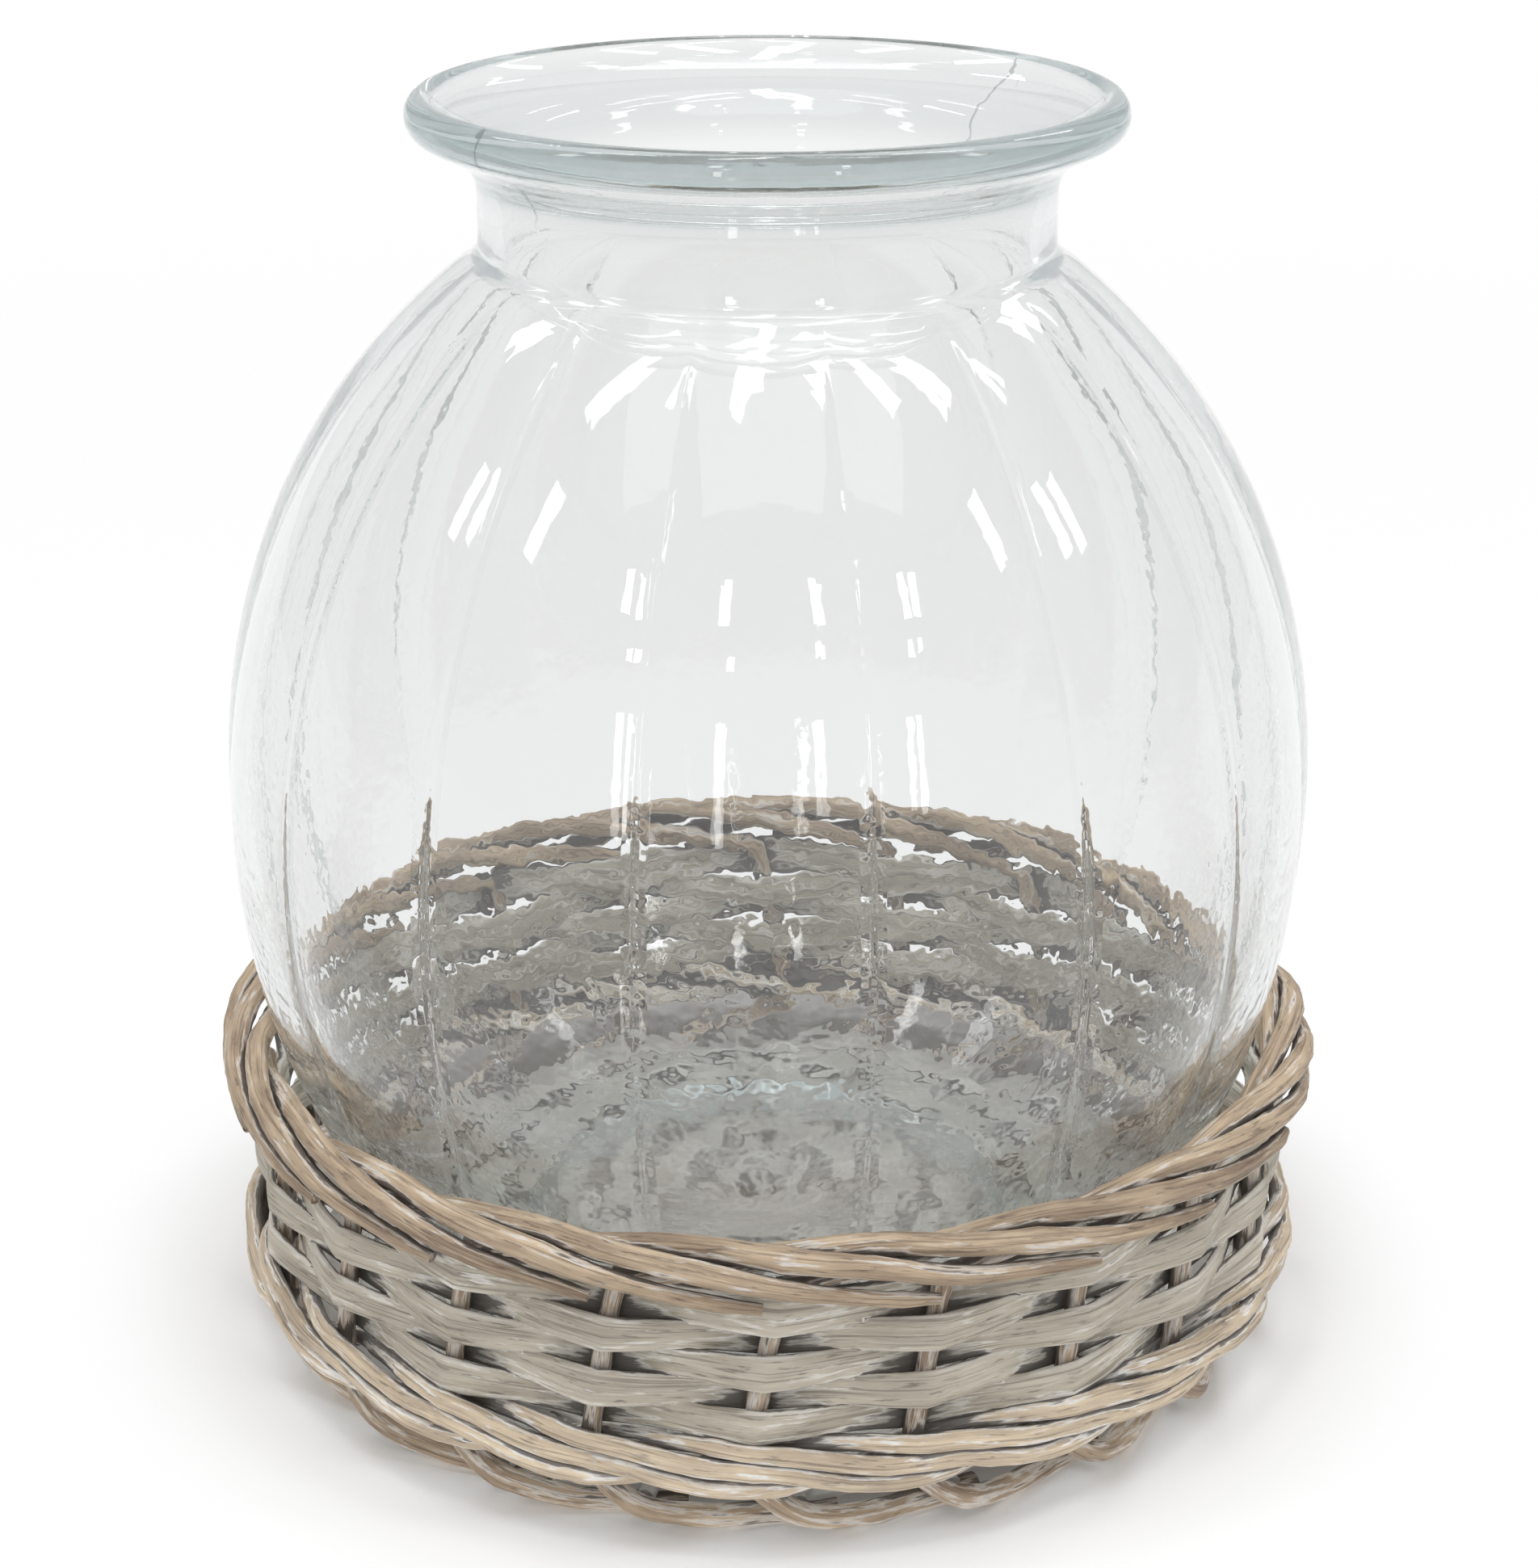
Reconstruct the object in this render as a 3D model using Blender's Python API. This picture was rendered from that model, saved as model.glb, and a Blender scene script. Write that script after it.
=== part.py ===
"""Fluted glass vase standing in a low woven willow basket.

Metres, +Z up. The origin is the centre of the basket's foot, on the surface it stands on.
The front of the object looks along -Y. Angles are counted from the front towards +X.
"""
import math

import bmesh
import bpy

# Clearance between pieces that touch on the real object
GAP = 0.0003

# Glass vase, heights above its own foot
BELLY_RADIUS = 0.1192
BELLY_HEIGHT = 0.1136
SHOULDER_RISE = 0.1370
BOWL_DROP = 0.1430
WALL = 0.0040
FLOOR_THICKNESS = 0.0056
FOOT_ROUNDING = 0.0030
FOOT_INSET = 0.0076
FOOT_RING = 0.0140
PUSH_UP = 0.0020
NECK_RADIUS = 0.0604
NECK_WALL = 0.0054
NECK_LENGTH = 0.0150
FLANGE_RISE = 0.0179
LIP_RADIUS = 0.0747
LIP_BEAD = 0.0035
LOBES = 16
LOBE_TURN = math.radians(-1.35)
GROOVE_DEPTH = 0.0035
GROOVE_FADE_TOP = 0.0200
GROOVE_FADE_FOOT = 0.0140
INNER_GROOVE_SHARE = 0.6
LIFT_CLEARANCE = 0.0017

# Basket: upright stakes and the rods and strips woven round them
STAKE_ROD = 0.0048
STAKE_LEAN = 0.165
STAKE_CROWDING = 0.075
FOOT_FLAT = 0.00045
TAIL_LEAN = 0.35
WALE_BOTTOM = 0.0140
WALE_ROD = 0.0036
WALE_BEND = 0.0002
WALL_ROWS = 5
WALL_STRIP_HEIGHT = 0.0060
WALL_STRIP_THICKNESS = 0.0018
STRIP_REST = 0.16

# Basket floor: two layers of sticks crossed at the centre, with strips woven round them
FLOOR_MID_HEIGHT = 0.0069
STICK_ROD = 0.0036
STICKS_PER_LAYER = 5
STICK_END_SPACE = 0.0008
FLOOR_ROWS = 8
FLOOR_STRIP_THICKNESS = 0.0014

# Each stick reaches two stakes
STAKES = 4 * STICKS_PER_LAYER
STAKE_STEP = 2 * math.pi / STAKES
ROD_LAY = STAKE_ROD + 2 * GAP


def clear_scene():
    for obj in list(bpy.data.objects):
        bpy.data.objects.remove(obj, do_unlink=True)


def surface(name, colour, roughness, transmission=0.0):
    material = bpy.data.materials.new(name)
    material.use_nodes = True
    shader = material.node_tree.nodes["Principled BSDF"]
    shader.inputs["Base Color"].default_value = (*colour, 1.0)
    shader.inputs["Roughness"].default_value = roughness
    shader.inputs["Metallic"].default_value = 0.0
    shader.inputs["Transmission Weight"].default_value = transmission
    return material


def add_object(name, data, material):
    obj = bpy.data.objects.new(name, data)
    bpy.context.scene.collection.objects.link(obj)
    data.materials.append(material)
    return obj


def at_angle(angle, radius, height):
    return (radius * math.sin(angle), -radius * math.cos(angle), height)


def smooth_step(value):
    value = min(max(value, 0.0), 1.0)
    return value * value * (3 - 2 * value)


def body_arc(angle, inset=0.0):
    """Radius and height of the vase's bowl at an angle up from its widest level."""
    rise = (SHOULDER_RISE if angle > 0 else BOWL_DROP) - inset
    return (BELLY_RADIUS - inset) * math.cos(angle), BELLY_HEIGHT + rise * math.sin(angle)


def body_angle_at_radius(radius, inset=0.0):
    return math.acos(radius / (BELLY_RADIUS - inset))


def body_angle_at_height(height, inset=0.0):
    rise = (SHOULDER_RISE if height > BELLY_HEIGHT else BOWL_DROP) - inset
    return math.asin((height - BELLY_HEIGHT) / rise)


def arc_points(first, last, count, inset=0.0):
    return [body_arc(first + (last - first) * i / (count - 1), inset) for i in range(count)]


def foot_radius():
    return body_arc(body_angle_at_height(FOOT_ROUNDING))[0] - FOOT_INSET


def push_up_radius():
    """The vase stands on a ring; the glass inside it is pushed up a little."""
    return foot_radius() - FOOT_RING


def vase_profile():
    """Closed half section as (radius, height), from under the foot, over the lip, to the floor."""
    neck_angle = body_angle_at_radius(NECK_RADIUS)
    neck_base = body_arc(neck_angle)[1]
    neck_top = neck_base + NECK_LENGTH
    inner_neck = NECK_RADIUS - NECK_WALL
    floor_height = PUSH_UP + FLOOR_THICKNESS
    foot_angle = body_angle_at_height(FOOT_ROUNDING)
    bead_radius = LIP_RADIUS - LIP_BEAD
    bead_height = neck_top + FLANGE_RISE - LIP_BEAD

    outside = [(push_up_radius(), PUSH_UP), (push_up_radius() + PUSH_UP, 0.0), (foot_radius(), 0.0)]
    outside.append((foot_radius() + FOOT_INSET * 2 / 3, FOOT_ROUNDING / 3))
    outside += arc_points(foot_angle, neck_angle, 12)
    outside.append((NECK_RADIUS, neck_top))
    for degrees in (-60, -15, 30, 75, 120, 165):
        turn = math.radians(degrees)
        outside.append((bead_radius + LIP_BEAD * math.cos(turn), bead_height + LIP_BEAD * math.sin(turn)))
    inside = [(inner_neck, neck_top + NECK_WALL)]
    inside += reversed(arc_points(body_angle_at_height(floor_height + FOOT_ROUNDING, WALL),
                                  body_angle_at_radius(inner_neck, WALL), 9, WALL))
    inside.append((inside[-1][0] - FOOT_ROUNDING, floor_height))
    return outside, inside


def groove_depth(height, full_depth):
    """The flutes fade out under the neck and at the foot."""
    neck_base = body_arc(body_angle_at_radius(NECK_RADIUS))[1]
    top = smooth_step((neck_base - height) / GROOVE_FADE_TOP)
    foot = smooth_step(height / GROOVE_FADE_FOOT)
    return full_depth * top * foot


def vase_ring(mesh, radius, height, depth, lift):
    """One level of the fluted wall: round lobes that meet in sharp grooves."""
    per_lobe = 4
    ring = []
    for i in range(LOBES * per_lobe):
        across = (i % per_lobe) / per_lobe * 2 - 1
        angle = (i / per_lobe - 0.5) * 2 * math.pi / LOBES + LOBE_TURN
        ring.append(mesh.verts.new(at_angle(angle, radius - depth * across * across, height + lift)))
    return ring


def join_rings(mesh, lower, upper):
    count = len(lower)
    for i in range(count):
        j = (i + 1) % count
        mesh.faces.new((lower[i], lower[j], upper[j], upper[i]))


def close_ring(mesh, ring, height, facing_up):
    centre = mesh.verts.new((0.0, 0.0, height))
    for i in range(len(ring)):
        pair = (ring[i], ring[(i + 1) % len(ring)])
        mesh.faces.new((*pair, centre) if facing_up else (*reversed(pair), centre))


def glass_vase(material, lift):
    outside, inside = vase_profile()
    mesh = bmesh.new()
    rings = []
    for radius, height in outside:
        rings.append(vase_ring(mesh, radius, height, groove_depth(height, GROOVE_DEPTH), lift))
    for radius, height in inside:
        depth = groove_depth(height, GROOVE_DEPTH * INNER_GROOVE_SHARE)
        rings.append(vase_ring(mesh, radius, height, depth, lift))
    for lower, upper in zip(rings, rings[1:]):
        join_rings(mesh, lower, upper)
    close_ring(mesh, rings[0], outside[0][1] + lift, facing_up=False)
    close_ring(mesh, rings[-1], inside[-1][1] + lift, facing_up=True)
    data = bpy.data.meshes.new("glass_vase")
    mesh.to_mesh(data)
    mesh.free()
    data.shade_smooth()
    data.set_sharp_from_angle(angle=math.radians(40))
    return add_object("glass_vase", data, material)


def vase_lift():
    """Height of the vase's foot: it stands on the strips of the basket floor.

    The innermost strip that carries it starts about a stick's width inside the foot's ring.
    """
    carrying_wave = floor_wave(push_up_radius() - STICK_ROD)
    return FLOOR_MID_HEIGHT + carrying_wave + FLOOR_STRIP_THICKNESS / 2 + GAP


def wale_rise():
    return WALE_ROD + GAP + WALE_BEND


def wale_swing():
    return (STAKE_ROD + WALE_ROD) / 2 + GAP + WALE_BEND


def wall_bottom():
    """The strips start on top of the wale."""
    return WALE_BOTTOM + WALE_ROD + 2 * wale_rise() + GAP + WALE_BEND


def wall_top():
    return wall_bottom() + WALL_ROWS * (WALL_STRIP_HEIGHT + GAP)


def stake_circle():
    """Radius of the ring of stakes: its inner side clears the bowl where the border starts."""
    border_level = wall_top() + 2 * ROD_LAY - vase_lift()
    bowl_radius = body_arc(body_angle_at_height(border_level))[0]
    return bowl_radius + STAKE_ROD / 2 + LIFT_CLEARANCE


def in_basket(angle, radius, height):
    """A place in the basket: its stakes lean, and they stand closer together at the front."""
    middle = (wall_bottom() + wall_top()) / 2
    level = min(max(height, WALE_BOTTOM), wall_top())
    lean = STAKE_LEAN * (level - middle) / stake_circle()
    spread = max(0.0, 1 - fan_radius() / radius) / (1 - fan_radius() / stake_circle())
    return at_angle(angle + lean - STAKE_CROWDING * spread * math.sin(angle), radius, height)


def tube(name, points, diameter, material, cyclic=False):
    curve = bpy.data.curves.new(name, "CURVE")
    curve.dimensions = "3D"
    curve.bevel_depth = diameter / 2
    curve.bevel_resolution = 1
    curve.use_fill_caps = not cyclic
    spline = curve.splines.new("POLY")
    spline.points.add(len(points) - 1)
    for point, place in zip(spline.points, points):
        point.co = (*place, 1.0)
    spline.use_cyclic_u = cyclic
    spline.use_smooth = True
    return add_object(name, curve, material)


def stake_route():
    """One rod from its tucked tail, up the wall and along the rolled border.

    Each point is (stake spaces sideways, distance outside the ring of stakes, height).
    """
    low = STAKE_ROD / 2 - FOOT_FLAT
    tail = [
        (1.60, -2 * STAKE_ROD, low),
        (1.15, -1.70 * STAKE_ROD, low),
        (0.75, -0.90 * STAKE_ROD, low + 0.2 * (FLOOR_MID_HEIGHT - low)),
        (TAIL_LEAN, 0.0, FLOOR_MID_HEIGHT),
        (0.06, 0.0, WALE_BOTTOM),
    ]
    top = wall_top()
    border = [
        (0.00, 0.00, -0.20),
        (0.12, 0.00, 0.46),
        (0.50, 0.00, 1.03),
        (1.00, 0.06, 1.73),
        (1.50, 0.45, 2.20),
        (2.00, 0.98, 2.08),
        (2.50, 1.33, 1.73),
        (3.00, 1.46, 1.15),
        (3.50, 1.43, 0.62),
        (3.90, 1.38, 0.25),
    ]
    upright = [(0.0, 0.0, WALE_BOTTOM + WALE_ROD)]
    return tail + upright + [(side, out * ROD_LAY, top + up * ROD_LAY) for side, out, up in border]


def floor_turn():
    """The floor sticks end at the stakes' tails, which have left the upright line there."""
    return TAIL_LEAN * STAKE_STEP


def stake(index, material):
    """A willow stake, cut flat where its tail meets the ground."""
    radius = stake_circle()
    points = [in_basket((index + side) * STAKE_STEP, radius + out, height)
              for side, out, height in stake_route()]
    name = f"stake_{index + 1:02d}"
    guide = tube(name + "_guide", points, STAKE_ROD, material)
    data = bpy.data.meshes.new_from_object(guide)
    bpy.data.objects.remove(guide, do_unlink=True)
    mesh = bmesh.new()
    mesh.from_mesh(data)
    bmesh.ops.remove_doubles(mesh, verts=mesh.verts, dist=0.00001)
    parts = mesh.verts[:] + mesh.edges[:] + mesh.faces[:]
    cut = bmesh.ops.bisect_plane(mesh, geom=parts, plane_co=(0, 0, 0), plane_no=(0, 0, 1),
                                 clear_inner=True)
    rim = [item for item in cut["geom_cut"] if isinstance(item, bmesh.types.BMEdge)]
    bmesh.ops.edgeloop_fill(mesh, edges=rim)
    bmesh.ops.recalc_face_normals(mesh, faces=mesh.faces)
    mesh.to_mesh(data)
    mesh.free()
    data.materials.clear()
    data.name = name
    data.shade_smooth()
    data.set_sharp_from_angle(angle=math.radians(70))
    return add_object(name, data, material)


def wale_route():
    """A wale rod's section path over four stakes, in shares of its swing and of its rise."""
    behind = [(-1.00, 0.00), (-0.50, 0.50), (0.05, 0.86), (0.62, 1.03)]
    before = [(1.00, 1.00), (1.06, 0.88), (1.10, 0.50), (1.06, 0.12), (1.00, 0.00)]
    below = [(out, -up) for out, up in reversed(before[1:-1])]
    return behind + before + below + [(1.00, -1.00)] + [(out, -up) for out, up in reversed(behind[1:])]


def curve_between(keys, place):
    """Point on a smooth closed curve through the keys, at a place counted in keys."""
    first = math.floor(place)
    share = place - first
    a, b, c, d = (keys[(first + i) % len(keys)] for i in (-1, 0, 1, 2))
    result = []
    for k in range(2):
        line = 2 * b[k] + (c[k] - a[k]) * share
        square = (2 * a[k] - 5 * b[k] + 4 * c[k] - d[k]) * share ** 2
        cube = (3 * b[k] - a[k] - 3 * c[k] + d[k]) * share ** 3
        result.append((line + square + cube) / 2)
    return result


def wale_rod(index, material):
    """One of four rods that each pass before three stakes and behind the fourth."""
    per_stake = 3
    keys = wale_route()
    middle = WALE_BOTTOM + WALE_ROD / 2 + wale_rise()
    points = []
    for i in range(STAKES * per_stake):
        stakes_along = i / per_stake
        out, up = curve_between(keys, (stakes_along + index) % 4 * 4)
        radius = stake_circle() + out * wale_swing()
        points.append(in_basket(stakes_along * STAKE_STEP, radius, middle + up * wale_rise()))
    return tube(f"wale_rod_{index + 1}", points, WALE_ROD, material, cyclic=True)


def wall_strip(index, material):
    """A flat split strip, before one stake and behind the next, closed on itself."""
    swing = (STAKE_ROD + WALL_STRIP_THICKNESS) / 2 + GAP
    name = f"wall_strip_{index + 1}"
    curve = bpy.data.curves.new(name, "CURVE")
    curve.dimensions = "2D"
    curve.fill_mode = "NONE"
    curve.extrude = WALL_STRIP_HEIGHT / 2
    spline = curve.splines.new("POLY")
    places = [(k + side, 0 if side == 0.5 else swing * (-1) ** (k + index))
              for k in range(STAKES) for side in (-STRIP_REST, STRIP_REST, 0.5)]
    spline.points.add(len(places) - 1)
    middle = wall_bottom() + WALL_STRIP_HEIGHT / 2 + index * (WALL_STRIP_HEIGHT + GAP)
    for point, (stakes_along, out) in zip(spline.points, places):
        x, y, height = in_basket(stakes_along * STAKE_STEP, stake_circle() + out, middle)
        point.co = (x, y, 0.0, 1.0)
    spline.use_cyclic_u = True
    obj = add_object(name, curve, material)
    obj.location.z = middle
    solid = obj.modifiers.new("thickness", "SOLIDIFY")
    solid.thickness = WALL_STRIP_THICKNESS
    solid.offset = 0.0
    return obj


def stick_spacing():
    return STICK_ROD + 2 * GAP


def cross_reach():
    """Half the width of the square where the two layers of sticks cross."""
    return STICKS_PER_LAYER / 2 * stick_spacing()


def fan_radius():
    """From here outwards every stick runs straight to its stake."""
    return 2.1 * cross_reach()


def floor_row_start():
    return fan_radius() + STICK_ROD


def floor_row_pitch():
    """The strips share the floor between the fanned sticks and the tucked tails."""
    tail_inside = stake_circle() - 2.5 * STAKE_ROD - GAP
    return (tail_inside - floor_row_start()) / FLOOR_ROWS


def floor_wave(inner_edge):
    """How far a strip rises over a stick: more near the middle, where it slopes more."""
    reach = (STICK_ROD + FLOOR_STRIP_THICKNESS) / 2 + GAP
    half_space = inner_edge * STAKE_STEP / 2
    return reach / math.sqrt(1 - (reach / half_space) ** 2)


def floor_stick(index, material):
    """Five sticks lie side by side across five others, and each fans out to two stakes."""
    layer = index // STICKS_PER_LAYER
    place = index % STICKS_PER_LAYER - (STICKS_PER_LAYER - 1) / 2
    reach = stake_circle() - STAKE_ROD / 2 - STICK_END_SPACE
    offset = (STICK_ROD + GAP) / 2 * (1 - 2 * layer)
    fan = place * STAKE_STEP
    half = [
        (cross_reach(), place * stick_spacing(), offset),
        (fan_radius() * math.cos(fan), fan_radius() * math.sin(fan), 0.0),
        (reach * math.cos(fan), reach * math.sin(fan), 0.0),
    ]
    route = [(-x, y, z) for x, y, z in reversed(half)] + half
    turn = floor_turn() + layer * math.pi / 2
    points = [in_basket(math.atan2(x, -y) + turn, math.hypot(x, y), FLOOR_MID_HEIGHT + z)
              for x, y, z in route]
    return tube(f"floor_stick_{index + 1:02d}", points, STICK_ROD, material)


def floor_strip(index, material):
    """A strip lying flat, over one stick and under the next, closed on itself."""
    inner_edge = floor_row_start() + index * floor_row_pitch()
    mesh = bmesh.new()
    pairs = []
    for i in range(2 * STAKES):
        angle = i / 2 * STAKE_STEP + floor_turn()
        wave = 0.0 if i % 2 else floor_wave(inner_edge) * (-1) ** (i // 2 + index)
        pairs.append([mesh.verts.new(in_basket(angle, radius, FLOOR_MID_HEIGHT + wave))
                      for radius in (inner_edge, inner_edge + floor_row_pitch() - GAP)])
    for i, (inner, outer) in enumerate(pairs):
        next_inner, next_outer = pairs[(i + 1) % len(pairs)]
        mesh.faces.new((inner, outer, next_outer, next_inner))
    name = f"floor_strip_{index + 1}"
    data = bpy.data.meshes.new(name)
    mesh.to_mesh(data)
    mesh.free()
    obj = add_object(name, data, material)
    solid = obj.modifiers.new("thickness", "SOLIDIFY")
    solid.thickness = FLOOR_STRIP_THICKNESS
    solid.offset = 0.0
    return obj


clear_scene()
glass = surface("clear_glass", (0.93, 0.96, 0.96), 0.02, transmission=1.0)
border_willow = surface("border_willow", (0.42, 0.31, 0.21), 0.6)
wale_willow = surface("wale_willow", (0.37, 0.30, 0.23), 0.65)
strip_willow = surface("strip_willow", (0.46, 0.41, 0.35), 0.7)
stick_willow = surface("stick_willow", (0.35, 0.28, 0.21), 0.7)
floor_willow = surface("floor_willow", (0.48, 0.43, 0.37), 0.7)

glass_vase(glass, vase_lift())
for number in range(STAKES):
    stake(number, border_willow)
for number in range(4):
    wale_rod(number, wale_willow)
for number in range(WALL_ROWS):
    wall_strip(number, strip_willow)
for number in range(2 * STICKS_PER_LAYER):
    floor_stick(number, stick_willow)
for number in range(FLOOR_ROWS):
    floor_strip(number, floor_willow)
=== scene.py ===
import math
import random

import bpy
import numpy as np
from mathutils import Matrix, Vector, noise
from mathutils.bvhtree import BVHTree


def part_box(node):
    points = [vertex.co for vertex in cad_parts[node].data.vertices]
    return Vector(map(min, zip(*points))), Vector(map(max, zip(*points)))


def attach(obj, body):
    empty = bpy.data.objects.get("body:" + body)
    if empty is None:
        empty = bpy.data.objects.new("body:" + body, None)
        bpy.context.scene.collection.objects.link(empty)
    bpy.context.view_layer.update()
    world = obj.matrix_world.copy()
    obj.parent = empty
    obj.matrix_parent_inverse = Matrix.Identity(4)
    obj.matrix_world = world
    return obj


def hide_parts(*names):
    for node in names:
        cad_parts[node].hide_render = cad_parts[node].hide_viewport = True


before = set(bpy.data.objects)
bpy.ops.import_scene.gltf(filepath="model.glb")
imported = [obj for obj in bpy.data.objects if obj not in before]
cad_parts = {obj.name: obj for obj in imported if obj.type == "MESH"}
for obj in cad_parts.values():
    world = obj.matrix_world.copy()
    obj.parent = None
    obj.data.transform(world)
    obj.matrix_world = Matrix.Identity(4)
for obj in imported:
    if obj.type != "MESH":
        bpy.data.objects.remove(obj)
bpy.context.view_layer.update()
bpy.ops.object.select_all(action="DESELECT")
bpy.context.scene.view_settings.view_transform = "Standard"


# Studio: a white floor that runs out of sight, an even pale sky, a wide soft lamp overhead, and
# narrow lamps round the sides and beside the camera, which show as bright streaks on the flutes.
camera_place = (0.0, -0.674, 0.3870)
camera_tilt = math.radians(68.5)
camera_lens = 74.6
picture_shift = 0.001
bpy.ops.object.camera_add(location=camera_place, rotation=(camera_tilt, 0.0, 0.0))
camera = bpy.context.object
camera.data.lens = camera_lens
camera.data.shift_x = picture_shift
bpy.context.scene.camera = camera


def combine(operation, first, second, third=0.0):
    """A maths node on numbers or on the outputs of other nodes."""
    step = nodes.new("ShaderNodeMath")
    step.operation = operation
    for socket, value in zip(step.inputs, (first, second, third)):
        if isinstance(value, (int, float)):
            socket.default_value = value
        else:
            links.new(value, socket)
    return step.outputs[0]


def fade(value, start, end, first=0.0, last=1.0, smooth=True):
    """Goes from first to last while the value goes from start to end, and is level outside that."""
    ramp = nodes.new("ShaderNodeMapRange")
    if smooth:
        ramp.interpolation_type = "SMOOTHSTEP"
    for name, number in (("From Min", start), ("From Max", end), ("To Min", first), ("To Max", last)):
        ramp.inputs[name].default_value = number
    links.new(value, ramp.inputs["Value"])
    return ramp.outputs["Result"]


def blend(share, first, second):
    """Colour between two colours, each plain or from another node."""
    mix = nodes.new("ShaderNodeMix")
    mix.data_type = "RGBA"
    links.new(share, mix.inputs["Factor"])
    for socket, colour in ((mix.inputs["A"], first), (mix.inputs["B"], second)):
        if isinstance(colour, tuple):
            socket.default_value = colour
        else:
            links.new(colour, socket)
    return mix.outputs["Result"]


floor_size = 12.0
floor_glow = 0.86
glow_start, glow_full = 0.118, 0.185
far_start, far_full = 0.35, 1.4
bounced_glow = 0.8
glass_shade_start, glass_shade_end = 0.14, 0.20
foot_shade = 0.5
foot_shade_start, foot_shade_end = 0.098, 0.106
paper_colour = (0.86, 0.86, 0.86, 1.0)
shaded_colour = (0.12, 0.105, 0.09, 1.0)
white = (1.0, 1.0, 1.0, 1.0)
bpy.ops.mesh.primitive_plane_add(size=floor_size, location=(0.0, 0.0, 0.0))
floor = bpy.context.object
floor.name = "studio_floor"
white_floor = bpy.data.materials.new("white_floor")
white_floor.use_nodes = True
nodes = white_floor.node_tree.nodes
links = white_floor.node_tree.links
nodes.clear()
seen = nodes.new("ShaderNodeLightPath")
place = nodes.new("ShaderNodeTexCoord")
from_middle = nodes.new("ShaderNodeVectorMath")
from_middle.operation = "LENGTH"
links.new(place.outputs["Object"], from_middle.inputs[0])
distance = from_middle.outputs["Value"]
camera_or_glass = combine("MAXIMUM", seen.outputs["Is Camera Ray"], seen.outputs["Is Transmission Ray"])
looked_at = combine("MAXIMUM", camera_or_glass, seen.outputs["Is Glossy Ray"])
near_glow = combine("MULTIPLY", looked_at, fade(distance, glow_start, glow_full, last=floor_glow))
all_glow = combine("ADD", near_glow, fade(distance, far_start, far_full, last=1.0 - floor_glow))
glow_share = combine("MULTIPLY_ADD", seen.outputs["Is Diffuse Ray"], bounced_glow, all_glow)
glow_share.node.use_clamp = True
# Painted shadow on the floor: the paper turns to the dark shaded colour right under the basket's foot, and
# beside the basket where it is seen through the glass.
glass_shade = combine("MULTIPLY", fade(distance, glass_shade_start, glass_shade_end, 1.0, 0.0),
                      seen.outputs["Is Transmission Ray"])
painted_shadow_under_basket = fade(distance, foot_shade_start, foot_shade_end, foot_shade, 0.0, smooth=False)
paper = nodes.new("ShaderNodeBsdfDiffuse")
sheet = blend(combine("MAXIMUM", glass_shade, painted_shadow_under_basket), paper_colour, shaded_colour)
links.new(sheet, paper.inputs["Color"])
glow = nodes.new("ShaderNodeEmission")
glow.inputs["Color"].default_value = white
mixed = nodes.new("ShaderNodeMixShader")
links.new(glow_share, mixed.inputs["Fac"])
links.new(paper.outputs[0], mixed.inputs[1])
links.new(glow.outputs[0], mixed.inputs[2])
links.new(mixed.outputs[0], nodes.new("ShaderNodeOutputMaterial").inputs["Surface"])
floor.data.materials.append(white_floor)

sky_colour = (0.98, 0.99, 1.0, 1.0)
sky_light = 0.72
sky = bpy.data.worlds.new("pale_sky")
sky.use_nodes = True
bpy.context.scene.world = sky
nodes = sky.node_tree.nodes
links = sky.node_tree.links
nodes.clear()
seen = nodes.new("ShaderNodeLightPath")
soft_sky = nodes.new("ShaderNodeBackground")
soft_sky.inputs["Color"].default_value = sky_colour
soft_sky.inputs["Strength"].default_value = sky_light
white_sky = nodes.new("ShaderNodeBackground")
white_sky.inputs["Color"].default_value = white
white_sky.inputs["Strength"].default_value = 1.0
mixed = nodes.new("ShaderNodeMixShader")
camera_or_glass = combine("MAXIMUM", seen.outputs["Is Camera Ray"], seen.outputs["Is Transmission Ray"])
links.new(camera_or_glass, mixed.inputs["Fac"])
links.new(soft_sky.outputs[0], mixed.inputs[1])
links.new(white_sky.outputs[0], mixed.inputs[2])
links.new(mixed.outputs[0], nodes.new("ShaderNodeOutputWorld").inputs["Surface"])


lamp_aim = Vector((0.0, 0.0, 0.17))


def hang_lamp(name, azimuth, elevation, distance, width, height, watts):
    """A soft rectangular lamp aimed at the vase; azimuth 0 is beside the camera."""
    turn, rise = math.radians(azimuth), math.radians(elevation)
    away = Vector((math.sin(turn) * math.cos(rise), -math.cos(turn) * math.cos(rise), math.sin(rise)))
    bpy.ops.object.light_add(type="AREA", location=lamp_aim + away * distance)
    lamp = bpy.context.object
    lamp.name = name
    lamp.rotation_euler = away.to_track_quat("Z", "Y").to_euler()
    lamp.data.shape = "RECTANGLE"
    lamp.data.size = width
    lamp.data.size_y = height
    lamp.data.energy = watts


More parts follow.
